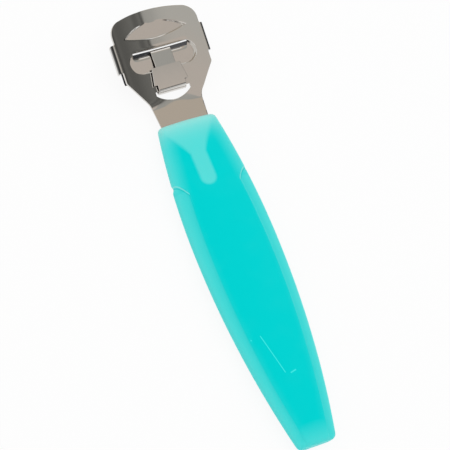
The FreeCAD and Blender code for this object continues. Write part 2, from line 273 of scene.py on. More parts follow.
def painted_dark_lug_wall(x, y, z):
    """Where the lugs turn down beside the blade: their walls get painted shade, a dark tone painted into
    the steel's colour.
    """
    height = (z - NECK_HEIGHT * MM) * math.cos(HEAD_TILT) - (y - BEND_LINE * MM) * math.sin(HEAD_TILT)
    outer = abs(x).step((LUG_DARK_FROM - LUG_SIDE_BLUR) * MM, (LUG_DARK_FROM + LUG_SIDE_BLUR) * MM)
    return outer * height.step((LUG_DARK_LOW - LUG_FOOT_BLUR) * MM, (LUG_DARK_LOW + LUG_FOOT_BLUR) * MM)


def fine_lines(paint, point, pull, size, detail):
    """Fine lines: a noise drawn out long in the direction whose scale is small."""
    stretched = paint.out("ShaderNodeMapping", {}, {"Vector": point, "Scale": pull})
    return paint.noise(stretched, size * MM, detail)


def polished_steel(paint, tone):
    """Mirror-polished sheet with faint polishing haze, and painted shade on the lug walls."""
    point = paint.point()
    haze = paint.noise(point, HAZE_SIZE * MM, 4.0)
    lines = fine_lines(paint, point, POLISH_LINE_PULL, POLISH_LINE, 3.0)
    shade = paint.colour_mix(haze * HAZE_TINT, rgba(tone), shaded(tone, HAZE_SHADE))
    # Painted shade on the lug walls.
    shade = paint.colour_mix(painted_dark_lug_wall(*paint.split(point)), shade, shaded(tone, LUG_DARK_SHADE))
    return {
        "Base Color": shade,
        "Metallic": 1.0,
        "Roughness": POLISH + haze * HAZE_ROUGHNESS + lines * POLISH_LINE_ROUGHNESS,
    }


def ground_steel(paint, tone):
    """Razor steel, ground along its length."""
    lines = fine_lines(paint, paint.point(), GRIND_LINE_PULL, GRIND_LINE, 4.0)
    return {
        "Base Color": paint.colour_mix(lines * GRIND_TINT, rgba(tone), shaded(tone, GRIND_SHADE)),
        "Metallic": 1.0,
        "Roughness": GRIND + lines * GRIND_ROUGHNESS,
    }


# Plastic: places on the handle are in millimetres, along it from its free end or down it from its head
# end, and each tone is a share of the pale colour over the core's.

FAR = 100.0

# Sides and front of the handle
HANDLE_HALF_WIDTH = 15.5
WIDEST_FROM_END = 75.0
UPPER_SIDE_RADIUS = 273.0
LOWER_SIDE_RADIUS = 345.0
WIDEST_BLUR = 0.1
FRONT_FACE = (5.0, 6.5)

# Pale fringe along the sides, stronger over the side bands, and the pale foot: paler where the plastic is
# thin, with the light that comes through it painted in
FRINGE_DEPTH = 6.5
FRINGE_FALL = 1.5
FRINGE_TONE = 0.22
FRINGE_TONE_OVER_BANDS = 0.5
FRINGE_OVER_BANDS = (93.5, 101.5)
FOOT_LENGTH = 8.0
FOOT_TONE = 0.5

# Side bands, paler where the plastic is thinner, with the light that comes through it painted in
BAND_START = 98.5
BAND_START_BLUR = 1.0
BAND_WIDTH = 4.8
BAND_WIDTH_AT_END = 3.5
BAND_BLUR = 0.35
BAND_TONE = 0.24
BAND_TONE_AT_SIDE = 0.36

# Strip and flaring funnel of the tang, seen through the plastic a little to the left of the middle
STRIP_OFFSET = 1.1
STRIP_HALF_WIDTH = 2.8
STRIP_TIP = 23.0
FLARE_START = 13.5
FLARE_SLOPE = 0.42
FLARE_BEND = 0.024
STEEL_BLUR = 0.7
FLARE_BLUR = 0.12
STEEL_TONE = 0.62

# Faint clouds in the plastic, and light that comes through its head end
CLOUD_SIZE = 9.0
CLOUD_TONE = 0.05
END_GLOW_LENGTH = 12.0
END_GLOW_FALL = 3.0
END_GLOW_TONE = 0.9

# Painted highlight along the arched crest over each side band, with a thin painted shadow under it
CREST_END = 100.8
CREST_OUTER = 14.3
CREST_INNER = 9.7
CREST_INNER_BLUR = 0.4
CREST_BEND = 0.22
CREST_RISE = (0.0, 0.45)
CREST_FALL = (0.45, 0.9)
CREST_HIGHLIGHT_TONE = 0.5
CREST_SHADOW_RISE = (0.0, 0.25)
CREST_SHADOW_FALL = (0.25, 0.6)
CREST_SHADOW_TONE = 0.6
CREST_SHADOW_SHADE = 0.75

# Faint marks on the front, painted as bright glints, each with its start, its end and half its width
MARK_GLINTS = (
    ((-5.6, 40.8), (-2.1, 26.3), 0.22),
    ((-0.2, 25.6), (1.6, 26.0), 0.35),
    ((-9.1, 40.5), (-9.0, 40.4), 0.3),
)
MARK_GLINT_CORE = 0.3
MARK_GLINT_TONE = 0.55
GRAIN_HEIGHT = 0.05


def side_gap(along, away):
    """Distance in from the handle's side, in millimetres, at a place along it from its free end."""
    past = along - WIDEST_FROM_END
    upper = past.step(-WIDEST_BLUR, WIDEST_BLUR)
    radius = LOWER_SIDE_RADIUS + upper * (UPPER_SIDE_RADIUS - LOWER_SIDE_RADIUS)
    return HANDLE_HALF_WIDTH - radius + (radius * radius - past * past) ** 0.5 - away


def steel_inside(across_place, from_top):
    """Where the funnel and the strip of the tang show through the plastic to the user."""
    flare = (FLARE_START - from_top).most(0.0)
    half = STRIP_HALF_WIDTH + flare * FLARE_SLOPE + flare * flare * FLARE_BEND
    past_tip = (from_top - STRIP_TIP).most(0.0)
    reach = (across_place * across_place + past_tip * past_tip) ** 0.5
    softness = STEEL_BLUR + flare * FLARE_BLUR
    return ((half - reach) / softness).step(-1.0, 1.0)


def band_crest(along, across_place):
    """Distance past the arched top of the side band, in millimetres, and far from it off the band."""
    away = abs(across_place)
    inward = CREST_OUTER - away
    arch = CREST_END - inward * inward * CREST_BEND
    beyond = (CREST_INNER - away).step(0.0, CREST_INNER_BLUR) * FAR
    return along - arch + beyond


def mark_glint(along, across_place, start, end, half):
    """A faint mark from start to end, in millimetres, painted as a glint that is brightest on its line."""
    run = Vector(end) - Vector(start)
    from_x = across_place - start[0]
    from_y = along - start[1]
    share = ((from_x * run.x + from_y * run.y) / run.length_squared).most(0.0).least(1.0)
    off_x = from_x - share * run.x
    off_y = from_y - share * run.y
    return 1 - ((off_x * off_x + off_y * off_y) ** 0.5).step(half * MARK_GLINT_CORE, half)


def paleness(along, from_top, across_place, front):
    """How pale the plastic is at its sides, on the side bands, at its foot and over the steel. The paleness
    at the sides, bands and foot is painted light coming through the thin plastic.
    """
    gap = side_gap(along, abs(across_place))
    fringe_tone = along.step(*FRINGE_OVER_BANDS) * FRINGE_TONE_OVER_BANDS + FRINGE_TONE
    fringe = (1 - gap / FRINGE_DEPTH).most(0.0) ** FRINGE_FALL * fringe_tone
    width = BAND_WIDTH_AT_END + along * ((BAND_WIDTH - BAND_WIDTH_AT_END) / BAND_START)
    below_start = 1 - along.step(BAND_START - BAND_START_BLUR, BAND_START + BAND_START_BLUR)
    in_band = (width - gap).step(-BAND_BLUR, BAND_BLUR) * below_start
    band = in_band * (BAND_TONE + (1 - gap / width).most(0.0) * BAND_TONE_AT_SIDE)
    foot = (1 - along / FOOT_LENGTH).most(0.0) * FOOT_TONE
    steel = steel_inside(across_place + STRIP_OFFSET, from_top) * front * STEEL_TONE
    return fringe.most(band).most(foot).most(steel)


def turquoise_plastic(paint, look):
    """Translucent turquoise moulding: pale sides with painted light through thin plastic, painted
    highlights and shadows at the band crests, and faint marks painted as glints.
    """
    point = paint.point()
    x, y, z = paint.split(point)
    low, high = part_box("handle")
    across_place = x / MM
    along = (y - low.y) / MM
    from_top = (high.y - y) / MM
    front = (z / MM).step(*FRONT_FACE)
    cloud = (paint.noise(point, CLOUD_SIZE * MM, 2.0) - 0.5) * CLOUD_TONE
    # Paleness at the sides, bands and foot: painted light coming through thin plastic.
    pale = (paleness(along, from_top, across_place, front) + cloud).most(0.0)
    shade = paint.colour_mix(pale, rgba(look.core_tone), rgba(look.pale_tone))
    end_glow = (1 - from_top / END_GLOW_LENGTH).most(0.0) ** END_GLOW_FALL * END_GLOW_TONE
    shade = paint.colour_mix(end_glow, shade, rgba(look.end_tone))
    # Painted highlight along each band's crest, and painted shadow under it.
    past_crest = band_crest(along, across_place)
    crest_highlight = past_crest.stretch(CREST_RISE, CREST_FALL) * CREST_HIGHLIGHT_TONE
    shade = paint.colour_mix(crest_highlight, shade, rgba(look.end_tone))
    crest_shadow = (0 - past_crest).stretch(CREST_SHADOW_RISE, CREST_SHADOW_FALL) * CREST_SHADOW_TONE
    shade = paint.colour_mix(crest_shadow, shade, shaded(look.core_tone, CREST_SHADOW_SHADE))
    # Faint marks painted as bright glints.
    for start, end, half in MARK_GLINTS:
        glint = mark_glint(along, across_place, start, end, half) * front * MARK_GLINT_TONE
        shade = paint.colour_mix(glint, shade, rgba(look.mark_glint_tone))
    grain = paint.noise(point, look.skin_grain, 3.0)
    bump = {"Height": grain, "Strength": 0.05, "Distance": GRAIN_HEIGHT * MM}
    return {
        "Base Color": shade,
        "Roughness": 0.36 + grain * 0.08,
        "IOR": 1.49,
        "Specular IOR Level": 0.25,
        "Specular Tint": (0.05, 0.75, 0.75, 1.0),
        "Subsurface Weight": 0.2,
        "Subsurface Radius": (0.3, 1.0, 1.0),
        "Subsurface Scale": 1.5 * MM,
        "Sheen Weight": 0.25,
        "Sheen Roughness": 0.4,
        "Sheen Tint": (0.1, 1.0, 0.95, 1.0),
        "Normal": paint.out("ShaderNodeBump", {}, bump),
    }


# Modelling helpers

CAD_MERGE_REACH = 0.002
FLAT_ANGLE = 0.5
BEVEL_ANGLE = 50
EDGE_SMOOTH_ANGLE = 40
KNEE_REACH = 0.1


def deselect_all():
    for thing in bpy.context.selected_objects:
        thing.select_set(False)


def take(piece):
    deselect_all()
    piece.select_set(True)
    bpy.context.view_layer.objects.active = piece


def merged_copy(node, name):
    """A new piece with the shape of a CAD node, its loose triangles joined at their corners."""
    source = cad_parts[node]
    piece = bpy.data.objects.new(name, source.data.copy())
    piece.data.name = name
    piece.data.materials.clear()
    bpy.context.scene.collection.objects.link(piece)
    take(piece)
    bpy.ops.object.mode_set(mode="EDIT")
    bpy.ops.mesh.select_all(action="SELECT")
    bpy.ops.mesh.remove_doubles(threshold=CAD_MERGE_REACH * MM)
    bpy.ops.object.mode_set(mode="OBJECT")
    return piece


def apply(piece, kind, **settings):
    take(piece)
    modifier = piece.modifiers.new(kind.title(), kind)
    for name, value in settings.items():
        setattr(modifier, name, value)
    bpy.ops.object.modifier_apply(modifier=modifier.name)


def smooth(piece, degrees):
    take(piece)
    bpy.ops.object.shade_smooth_by_angle(angle=math.radians(degrees))


def head_place(point):
    """A point's place along the head from the bend line and its height over the head, in millimetres."""
    y = point.y / MM - BEND_LINE
    z = point.z / MM - NECK_HEIGHT
    along = y * math.cos(HEAD_TILT) + z * math.sin(HEAD_TILT)
    height = z * math.cos(HEAD_TILT) - y * math.sin(HEAD_TILT)
    return along, height


def at_knee(point):
    return abs(head_place(point)[0] - CLIP_KNEE) < KNEE_REACH


def soften_edges(piece, width):
    """Join flat faces and give sharp edges a narrow round, but keep the clip's knee a crisp line."""
    take(piece)
    bpy.ops.object.mode_set(mode="EDIT")
    bpy.ops.mesh.select_all(action="SELECT")
    bpy.ops.mesh.dissolve_limited(angle_limit=math.radians(FLAT_ANGLE))
    bpy.ops.object.mode_set(mode="OBJECT")
    apply(piece, "BEVEL", width=width * MM, segments=2, limit_method="ANGLE",
          angle_limit=math.radians(BEVEL_ANGLE), harden_normals=False)
    smooth(piece, EDGE_SMOOTH_ANGLE)
    for edge in piece.data.edges:
        if all(at_knee(piece.data.vertices[corner].co) for corner in edge.vertices):
            edge.use_edge_sharp = True
    apply(piece, "WEIGHTED_NORMAL", mode="FACE_AREA", weight=100, keep_sharp=True)


def hand_over(piece, material, slot, *nodes):
    piece.data.materials.clear()
    piece.data.materials.append(material)
    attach(piece, "root")
    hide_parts(*nodes)


# Stamped head: a flat blank with its holes, pressed and then bent.
# Its places are in millimetres: X across, S along the sheet from the bend, N out of the front face.

SHEET = 0.7

# Grid of the blank and its cutting
GRID = 0.3
GRID_MARGIN = 1.0
WALL_CUTS = 2
CUT_ROUND = 0.12
CUT_MARGIN = 0.02
CUT_MERGE_REACH = 0.0005
TIP_STEPS = 8
TOP_STEPS = 40
HOLE_STEPS = 32

# Neck and tang
NECK_HEIGHT = 4.3
NECK_LENGTH = 9.4
NECK_HALF_WIDTH = 9.05
NECK_ROOT_HALF_WIDTH = 9.6
HIP_HALF_WIDTH = 10.0
TANG_LENGTH = 24.4
TANG_HALF_WIDTH = 3.1
TANG_ROUND = 8.0
FUNNEL_LENGTH = 13.0
FUNNEL_SET_IN = 3.0
FUNNEL_ROUND = 6.0

# Head
HEAD_TILT = math.radians(12.3)
BEND_LENGTH = 4.0
HEAD_RADIUS = 46.0
HEAD_LENGTH = 33.6
HEAD_HALF_WIDTH = 16.3
SHOULDER = 9.3
SHOULDER_ROUND = 1.0
HEAD_TOP_RADIUS = 36.0
CORNER_ROUND = 6.0
NECK_FILLET = 5.0

# Pressed flats
LENS_MIDDLE = 24.7
LENS_HALF_LENGTH = 12.0
LENS_RISE = 4.5
LENS_DROP = 1.9
LENS_DEPTH = 0.08
LENS_WALL = 0.5
LOUVRE_DEPTH = 0.25
LOUVRE_WALL = 0.35
WALL_OUTSIDE = 0.05
FLOOR_LEAN = 0.025
LOUVRE_MIDDLE = 15.4
LOUVRE_STRAIGHT = 8.4
LOUVRE_ROUND = 4.2

# Mouth with its rolled lips, and the D-shaped hole
MOUTH_HALF_LENGTH = 10.4
MOUTH_TOP = 19.3
MOUTH_LOW = 17.6
LIP_RUN = 1.4
LIP_DROP = 0.4
LIP_FADE = 3.0
MOUTH_BLEND = 0.4
MOUTH_END_BLEND = 0.5
HOLE_TOP = 3.9
HOLE_HALF_WIDTH = 6.5
HOLE_SIDE = 1.4

# Lugs, and the knee of the clip that lies on the head
LUG_LOW = 13.3
LUG_LENGTH = 10.4
TAB_ROOT_ROUND = 0.3
TAB_ROUND = 0.6
LUG_SHOULDER_BEND = 0.56
LUG_WALL = 2.71
LUG_CLAW_BEND = 0.85
LUG_CLAW = 1.7
CLIP_KNEE = 12.4

BEND_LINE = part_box("handle")[1].y / MM + NECK_LENGTH
BEND_RADIUS = BEND_LENGTH / HEAD_TILT
BEND_REACH = BEND_RADIUS * math.tan(HEAD_TILT / 2)
EDGE_LEAN = math.asin(HEAD_HALF_WIDTH / HEAD_RADIUS)


def arc_points(start, middle, end, count):
    """Points on the arc from start through middle to end, without the end itself."""
    (ax, ay), (bx, by), (cx, cy) = start, middle, end
    aa = ax ** 2 + ay ** 2
    bb = bx ** 2 + by ** 2
    cc = cx ** 2 + cy ** 2
    d = 2 * (ax * (by - cy) + bx * (cy - ay) + cx * (ay - by))
    ux = (aa * (by - cy) + bb * (cy - ay) + cc * (ay - by)) / d
    uy = (aa * (cx - bx) + bb * (ax - cx) + cc * (bx - ax)) / d
    radius = math.hypot(ax - ux, ay - uy)
    first = math.atan2(ay - uy, ax - ux)
    turn = math.atan2(cy - uy, cx - ux) - first
    through = math.atan2(by - uy, bx - ux) - first
    full = 2 * math.pi
    turn %= full
    if through % full > turn:
        turn -= full
    angles = [first + turn * i / count for i in range(count)]
    return [(ux + radius * math.cos(angle), uy + radius * math.sin(angle)) for angle in angles]


def rounded(points, rounds, count=10):
    """An open run of points whose corners are rounded by the radii given for them."""
    run = [points[0]]
    for before, corner, after, radius in zip(points, points[1:], points[2:], rounds):
        if not radius:
            run.append(corner)
            continue
        corner_at = Vector(corner)
        back = (Vector(before) - corner_at).normalized()
        on = (Vector(after) - corner_at).normalized()
        half = back.angle(on) / 2
        reach = radius / math.tan(half)
        centre = corner_at + (back + on).normalized() * (radius / math.sin(half))
        middle = centre + (corner_at - centre).normalized() * radius
        start = corner_at + back * reach
        end = corner_at + on * reach
        run += arc_points(tuple(start), tuple(middle), tuple(end), count) + [tuple(end)]
    run.append(points[-1])
    return run


def blank_outline():
    """Tang, funnel, neck, spade-shaped head and the two tabs that become the lugs."""
    handle_end = -NECK_LENGTH
    strip_top = handle_end - FUNNEL_LENGTH
    strip_end = handle_end - TANG_LENGTH + TANG_HALF_WIDTH
    tip_side = TANG_HALF_WIDTH * math.sqrt(0.5)
    tip = arc_points((0, strip_end - TANG_HALF_WIDTH), (tip_side, strip_end - tip_side),
                     (TANG_HALF_WIDTH, strip_end), TIP_STEPS)
    tab_reach = (LUG_SHOULDER_BEND * (math.pi / 2 + EDGE_LEAN) + LUG_WALL
                 + LUG_CLAW_BEND * math.pi / 2 + LUG_CLAW)
    tab_x = HEAD_HALF_WIDTH + tab_reach
    lug_high = LUG_LOW + LUG_LENGTH
    drop = HEAD_HALF_WIDTH ** 2 / (2 * HEAD_TOP_RADIUS)
    corners = [
        ((TANG_HALF_WIDTH, strip_top), TANG_ROUND),
        ((NECK_HALF_WIDTH, handle_end - FUNNEL_SET_IN), FUNNEL_ROUND),
        ((NECK_HALF_WIDTH, handle_end), 0),
        ((NECK_ROOT_HALF_WIDTH, -BEND_LENGTH / 2), 0),
        ((HIP_HALF_WIDTH, 0), NECK_FILLET),
        ((HEAD_HALF_WIDTH, SHOULDER), SHOULDER_ROUND),
        ((HEAD_HALF_WIDTH, LUG_LOW), TAB_ROOT_ROUND),
        ((tab_x, LUG_LOW), TAB_ROUND),
        ((tab_x, lug_high), TAB_ROUND),
        ((HEAD_HALF_WIDTH, lug_high), TAB_ROOT_ROUND),
        ((HEAD_HALF_WIDTH, HEAD_LENGTH - drop), CORNER_ROUND),
    ]
    places = [place for place, radius in corners]
    radii = [radius for place, radius in corners]
    points = [(TANG_HALF_WIDTH, strip_end), *places, (0, HEAD_LENGTH + drop)]
    side = rounded(points, radii)[1:-1]
    right = tip + side
    corner = right[-1]
    top = arc_points(corner, (0, HEAD_LENGTH), (-corner[0], corner[1]), TOP_STEPS)
    left = [(-x, s) for x, s in reversed(right[1:])]
    return right[:-1] + top + left


def mouth_outline():
    half = MOUTH_HALF_LENGTH
    return [(-half, MOUTH_LOW), (half, MOUTH_LOW), (half, MOUTH_TOP), (-half, MOUTH_TOP)]


def hole_outline():
    shoulder = HOLE_TOP - HOLE_SIDE
    low = arc_points((HOLE_HALF_WIDTH, shoulder), (0, 0), (-HOLE_HALF_WIDTH, shoulder), HOLE_STEPS)
    return [(-HOLE_HALF_WIDTH, shoulder), (-HOLE_HALF_WIDTH, HOLE_TOP), (HOLE_HALF_WIDTH, HOLE_TOP)] + low


def punch(name, outlines, half_height, edge_round):
    """A flat drawing with holes, raised on both sides, its edges rounded."""
    curve = bpy.data.curves.new(name, "CURVE")
    curve.dimensions = "2D"
    curve.fill_mode = "BOTH"
    curve.extrude = half_height - edge_round
    curve.bevel_depth = edge_round
    curve.bevel_resolution = 2
    curve.offset = -edge_round
    for outline in outlines:
        spline = curve.splines.new("POLY")
        spline.points.add(len(outline) - 1)
        for point, (x, y) in zip(spline.points, outline):
            point.co = (x, y, 0, 1)
        spline.use_cyclic_u = True
    piece = bpy.data.objects.new(name, curve)
    bpy.context.scene.collection.objects.link(piece)
    take(piece)
    bpy.ops.object.convert(target="MESH")
    piece = bpy.context.active_object
    bpy.ops.object.mode_set(mode="EDIT")
    bpy.ops.mesh.select_all(action="SELECT")
    bpy.ops.mesh.remove_doubles(threshold=CUT_MERGE_REACH)
    bpy.ops.object.mode_set(mode="OBJECT")
    return piece


def smooth_step(value, low, high):
    share = min(max((value - low) / (high - low), 0.0), 1.0)
    return share * share * (3 - 2 * share)


def lens_distance(x, s):
    """Distance outside the lens-shaped flat, negative inside it."""
    distance = -FAR
    for reach, side in ((LENS_RISE, -1), (LENS_DROP, 1)):
        radius = (LENS_HALF_LENGTH ** 2 + reach ** 2) / (2 * reach)
        centre = LENS_MIDDLE + side * (radius - reach)
        distance = max(distance, math.hypot(x, s - centre) - radius)
    return distance


def louvre_distance(x, s):
    """Distance outside the oblong louvre, negative inside it."""
    return math.hypot(max(abs(x) - LOUVRE_STRAIGHT, 0), s - LOUVRE_MIDDLE) - LOUVRE_ROUND


def pressed_share(x, s):
    """How far a point of the sheet is pressed flat: 0 on the free sheet, 1 on a pressed floor."""
    lens = 1 - smooth_step(lens_distance(x, s), -LENS_WALL, WALL_OUTSIDE)
    louvre = 1 - smooth_step(louvre_distance(x, s), -LOUVRE_WALL, WALL_OUTSIDE)
    mouth_middle = (MOUTH_LOW + MOUTH_TOP) / 2
    above = smooth_step(s, mouth_middle - MOUTH_BLEND, mouth_middle + MOUTH_BLEND)
    beside = smooth_step(abs(x), MOUTH_HALF_LENGTH - MOUTH_END_BLEND, MOUTH_HALF_LENGTH + MOUTH_END_BLEND)
    return max(lens, louvre * (1 - above * (1 - beside)))


def lip_run(s):
    """How far into a mouth lip's roll a place along the sheet is: 0 outside it, 1 at the mouth's edge."""
    run = s - (MOUTH_LOW - LIP_RUN) if s < (MOUTH_LOW + MOUTH_TOP) / 2 else MOUTH_TOP + LIP_RUN - s
    return min(max(run / LIP_RUN, 0.0), 1.0)


def lip_drop(x, s):
    """How far back the sheet rolls along the mouth's long edges, fading out at the mouth's ends."""
    fade = 1 - smooth_step(abs(x), MOUTH_HALF_LENGTH - LIP_FADE, MOUTH_HALF_LENGTH + MOUTH_END_BLEND)
    return LIP_DROP * lip_run(s) ** 2 * fade


def across(x, s, n, curl):
    """Place of a point in the cross-section of the sheet, as its X and its height over the bend line."""
    side = math.copysign(1.0, x)
    run = abs(x)
    if run > HEAD_HALF_WIDTH:
        return folded_lug(side, run - HEAD_HALF_WIDTH, n)
    if curl == 0:
        return x, n
    radius = HEAD_RADIUS / curl
    pressed = pressed_share(x, s)
    on_lens = s > (LENS_MIDDLE + LOUVRE_MIDDLE) / 2
    middle, depth = (LENS_MIDDLE, LENS_DEPTH) if on_lens else (LOUVRE_MIDDLE, LOUVRE_DEPTH)
    floor = FLOOR_LEAN * (s - middle) - depth
    rise = (radius - math.sqrt(radius ** 2 - run ** 2)) * (1 - pressed) + floor * pressed
    lean = run / radius * (1 - pressed)
    return x - side * lean * n, rise + math.sqrt(1 - lean ** 2) * n - lip_drop(x, s)


def folded_lug(side, run, n):
    """Out of the head's edge, down beside it and in behind the blade's end, bent about mid-sheet."""
    middle = n + SHEET / 2
    edge_rise = HEAD_RADIUS - math.sqrt(HEAD_RADIUS ** 2 - HEAD_HALF_WIDTH ** 2)
    x = HEAD_HALF_WIDTH + math.sin(EDGE_LEAN) * SHEET / 2
    z = edge_rise - math.cos(EDGE_LEAN) * SHEET / 2
    heading = EDGE_LEAN
    stretches = ((LUG_SHOULDER_BEND * (math.pi / 2 + EDGE_LEAN), LUG_SHOULDER_BEND), (LUG_WALL, 0),
                 (LUG_CLAW_BEND * math.pi / 2, LUG_CLAW_BEND), (FAR, 0))
    for length, radius in stretches:
        step = min(run, length)
        run -= step
        if radius:
            turn = step / radius
            centre_x = x + radius * math.sin(heading)
            centre_z = z - radius * math.cos(heading)
            heading -= turn
            x = centre_x - radius * math.sin(heading)
            z = centre_z + radius * math.cos(heading)
        else:
            x += step * math.cos(heading)
            z += step * math.sin(heading)
        if run <= 0:
            break
    return side * (x - middle * math.sin(heading)), z + middle * math.cos(heading)


def pressed_and_bent(point):
    """Where a point of the flat blank ends up on the finished head, in metres."""
    x, s, n = point
    curl = min(max((s + BEND_REACH) / (2 * BEND_REACH), 0.0), 1.0)
    x, height = across(x, s, n, curl)
    turn = HEAD_TILT * curl
    along = min(s + BEND_REACH, 0.0) - BEND_REACH + BEND_RADIUS * math.sin(turn)
    up = BEND_RADIUS * (1 - math.cos(turn))
    past = max(s - BEND_REACH, 0.0)
    along += past * math.cos(turn) - height * math.sin(turn)
    up += past * math.sin(turn) + height * math.cos(turn)
    return Vector((x, BEND_LINE + along, NECK_HEIGHT + up)) * MM


def stamped_plate():
    deselect_all()
    outline = blank_outline()
    wide = 2 * max(x for x, s in outline) + 2 * GRID_MARGIN
    low = min(s for x, s in outline) - GRID_MARGIN
    high = max(s for x, s in outline) + GRID_MARGIN
    cells_across = round(wide / GRID)
    cells_along = round((high - low) / GRID)
    bpy.ops.mesh.primitive_grid_add(x_subdivisions=cells_across, y_subdivisions=cells_along, size=1)
    piece = bpy.context.active_object
    piece.name = "plate"
    bpy.ops.object.mode_set(mode="EDIT")
    bpy.ops.mesh.select_all(action="SELECT")
    bpy.ops.transform.resize(value=(wide, high - low, 1))
    bpy.ops.transform.translate(value=(0, (high + low) / 2, 0))
    bpy.ops.mesh.select_mode(type="FACE")
    bpy.ops.mesh.select_all(action="DESELECT")
    bpy.ops.object.mode_set(mode="OBJECT")
    for face in piece.data.polygons:
        x, s, n = face.center
        wall = min(abs(lens_distance(x, s)), abs(louvre_distance(x, s))) < LENS_WALL + GRID
        face.select = wall or (lip_run(s) > 0 and abs(x) < MOUTH_HALF_LENGTH + GRID)
    bpy.ops.object.mode_set(mode="EDIT")
    bpy.ops.mesh.subdivide(number_cuts=WALL_CUTS)
    bpy.ops.object.mode_set(mode="OBJECT")
    apply(piece, "SOLIDIFY", thickness=SHEET, offset=-1)
    outlines = [outline, mouth_outline(), hole_outline()]
    cutter = punch("plate_cutter", outlines, SHEET / 2 + CUT_MARGIN, CUT_ROUND)
    for vertex in cutter.data.vertices:
        vertex.co.z -= SHEET / 2
    apply(piece, "BOOLEAN", operation="INTERSECT", object=cutter, solver="EXACT")
    bpy.data.objects.remove(cutter)
    for vertex in piece.data.vertices:
        vertex.co = pressed_and_bent(vertex.co)
    return piece


# Operators

PLATE_SMOOTH_ANGLE = 50
CLIP_EDGE_ROUND = 0.12
BLADE_EDGE_ROUND = 0.02


class SHAVER_OT_plate(bpy.types.Operator):
    """Make the stamped head plate"""
    bl_idname = "shaver.plate"
    bl_label = "Head plate"

    def execute(self, context):
        look = context.scene.shaver_steel
        piece = stamped_plate()
        smooth(piece, PLATE_SMOOTH_ANGLE)
        steel = finish("polished steel", polished_steel, look.plate_tone)
        hand_over(piece, steel, "polished_steel", "head_plate")
        return {"FINISHED"}


class SHAVER_OT_clip(bpy.types.Operator):
    """Make the spring clip"""
    bl_idname = "shaver.clip"
    bl_label = "Spring clip"

    def execute(self, context):
        look = context.scene.shaver_steel
        piece = merged_copy("spring_clip", "clip")
        soften_edges(piece, CLIP_EDGE_ROUND)
        steel = finish("clip steel", polished_steel, look.clip_tone)
        hand_over(piece, steel, "clip_steel", "spring_clip")
        return {"FINISHED"}


class SHAVER_OT_blade(bpy.types.Operator):
    """Make the replaceable blade"""
    bl_idname = "shaver.blade"
    bl_label = "Blade"

    def execute(self, context):
        look = context.scene.shaver_steel
        piece = merged_copy("blade", "razor_blade")
        soften_edges(piece, BLADE_EDGE_ROUND)
        # The blade gets the darkened tone, painted shade in the mouth.
        steel = finish("blade steel", ground_steel, look.shaded_blade_tone)
        hand_over(piece, steel, "blade_steel", "blade")
        return {"FINISHED"}


HANDLE_CELL = 0.36
HANDLE_SMOOTHING = {"factor": 0.5, "iterations": 3}
HANDLE_SMOOTH_ANGLE = 60
BACK_ROUND = 3.2
BACK_ROUND_SEEN = 6.0


def half_at_height(half, height, size):
    """Half the handle's width at a height over its back, where the back's edges are rounded by size."""
    below = min(max(size - height, 0.0), size)
    return half - size + math.sqrt(size ** 2 - below ** 2)


def round_the_back(piece):
    """Round the handle's back edges as far as its outline in the picture shows."""
    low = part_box("handle")[0].y
    for vertex in piece.data.vertices:
        height = vertex.co.z / MM
        past = (vertex.co.y - low) / MM - WIDEST_FROM_END
        radius = LOWER_SIDE_RADIUS if past < 0 else UPPER_SIDE_RADIUS
        half = HANDLE_HALF_WIDTH - radius + math.sqrt(radius ** 2 - past ** 2)
        before, after = [half_at_height(half, height, size) for size in (BACK_ROUND, BACK_ROUND_SEEN)]
        vertex.co.x *= after / before


class SHAVER_OT_handle(bpy.types.Operator):
    """Make the moulded handle"""
    bl_idname = "shaver.handle"
    bl_label = "Handle"

    def execute(self, context):
        look = context.scene.shaver_handle
        piece = merged_copy("handle", "grip")
        apply(piece, "REMESH", mode="VOXEL", voxel_size=HANDLE_CELL * MM, adaptivity=0.0)
        apply(piece, "SMOOTH", **HANDLE_SMOOTHING)
        smooth(piece, HANDLE_SMOOTH_ANGLE)
        round_the_back(piece)
        piece.visible_glossy = False
        plastic = finish("turquoise plastic", turquoise_plastic, look)
        hand_over(piece, plastic, "handle_plastic", "handle")
        return {"FINISHED"}


# Room: rightness and farness are how far a direction leans to the right and to the head's end for each
# unit that it rises. A pair of places is where a soft edge starts and ends.

SCREEN_WARMTH = 0.95
SCREEN_SPAN = 1.6
SCREEN_TONES = (
    (0.0, 0.53), (0.16, 0.50), (0.26, 0.44), (0.425, 0.41), (0.445, 0.16), (0.47, 0.07),
    (0.50, 0.19), (0.55, 0.15), (0.60, 0.12), (0.64, 0.13), (0.70, 0.18), (0.80, 0.16),
    (0.92, 0.145), (1.05, 0.125), (1.25, 0.12), (1.40, 0.15), (1.55, 0.04),
)
LEAST_LEAN = 0.05
CEILING_RIGHT_EDGE = (0.42, 0.44)
BRIGHT_CEILING_EDGE = (0.052, 0.068)
WARM_CEILING_EDGE = (0.19, 0.24)
LEFT_WALL_EDGE = (0.40, 0.50)
FAR_WALL_FOOT = (0.46, 0.55)
FAR_WALL_LEFT = (0.18, 0.24)
FAR_WALL_RIGHT = (0.36, 0.44)
CORNER_WALL_SIDE = (0.45, 0.60)
CORNER_WALL_LEFT = (0.25, 0.35)
CORNER_WALL_TOP = (0.45, 0.60)
NEAR_WALL_FOOT = (0.25, 0.35)
NEAR_WALL_RIGHT = (0.20, 0.30)
NEAR_WALL_TOP = (0.50, 0.62)
NEAR_WALL_LEFT = (0.5, 0.6)
RAIL_SIDE = (0.80, 0.86)
RAIL_LOW = (0.06, 0.10)
RAIL_HIGH = (0.20, 0.26)
HORIZON = (0.08, 0.14)
ROOM_DARK = (0.02, 0.02, 0.02, 1.0)


def grey(value):
    return (value, value, value * SCREEN_WARMTH, 1.0)


